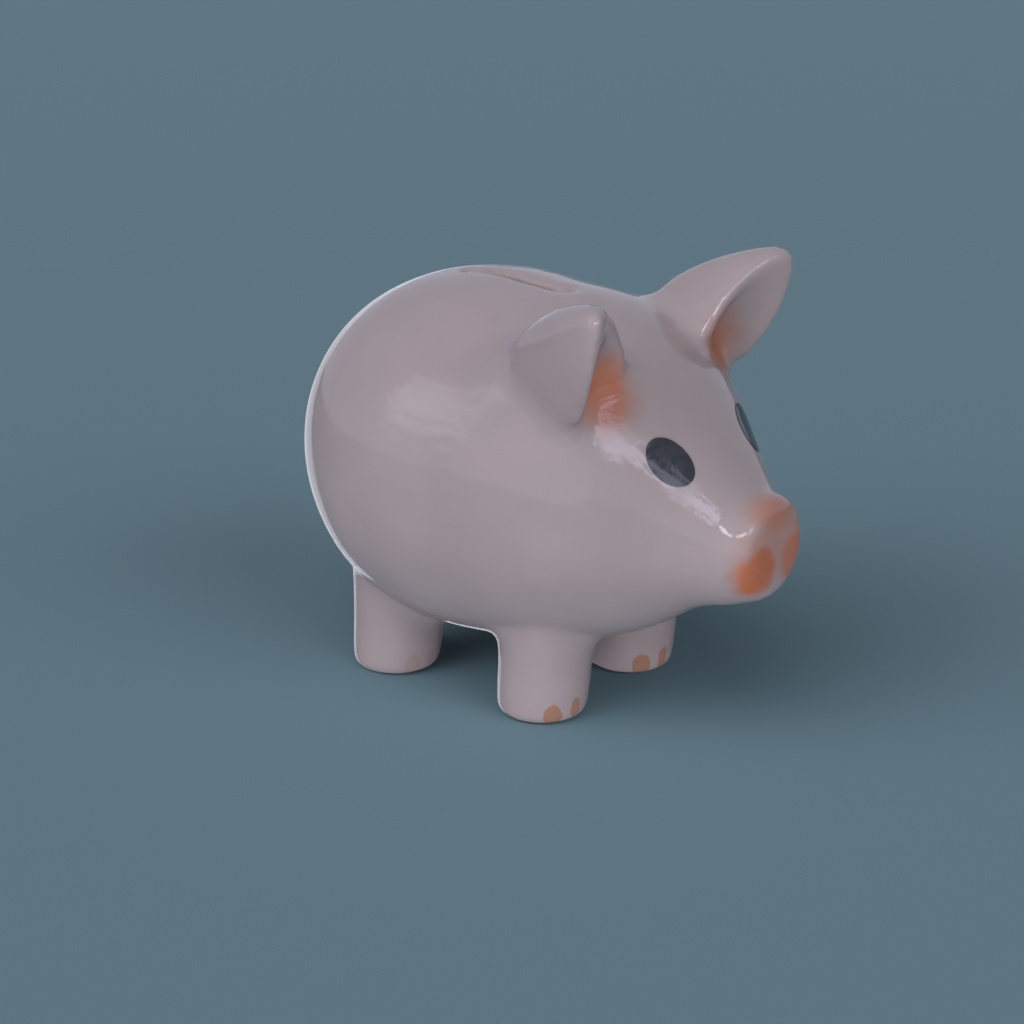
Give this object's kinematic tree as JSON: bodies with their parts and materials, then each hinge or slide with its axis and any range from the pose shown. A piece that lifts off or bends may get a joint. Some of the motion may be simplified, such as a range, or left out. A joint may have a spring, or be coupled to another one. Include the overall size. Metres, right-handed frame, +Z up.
{
  "type": "piggy bank",
  "caption": "Standing glazed ceramic piggy bank: hollow pot with a coin slot in the back and a pull-out rubber stopper in the belly.",
  "frame": {"origin": "on the floor under the middle of the whole length, snout to tail", "axes": "+Z up, -Y the way the pig looks, +X the pig's left side"},
  "size_m": [0.099, 0.143, 0.116],
  "materials": {
    "pink_glaze": "glossy clear glaze over pale pink clay with airbrushed orange",
    "dark_enamel": "glossy near-black overglaze enamel",
    "stopper_rubber": "soft satin moulded rubber, off-white"
  },
  "bodies": {
    "pot": {"body_shell": "pink_glaze", "front_right_leg": "pink_glaze", "front_left_leg": "pink_glaze", "rear_right_leg": "pink_glaze", "rear_left_leg": "pink_glaze", "right_ear": "pink_glaze", "left_ear": "pink_glaze", "tail": "pink_glaze", "right_eye": "dark_enamel", "left_eye": "dark_enamel"},
    "stopper": {"belly_stopper": "stopper_rubber"}
  },
  "joints": [
    {"name": "stopper_pull", "type": "slide", "parent": "pot", "child": "stopper", "axis": [0, 0, -1], "range_m": [0, 0.03]}
  ]
}
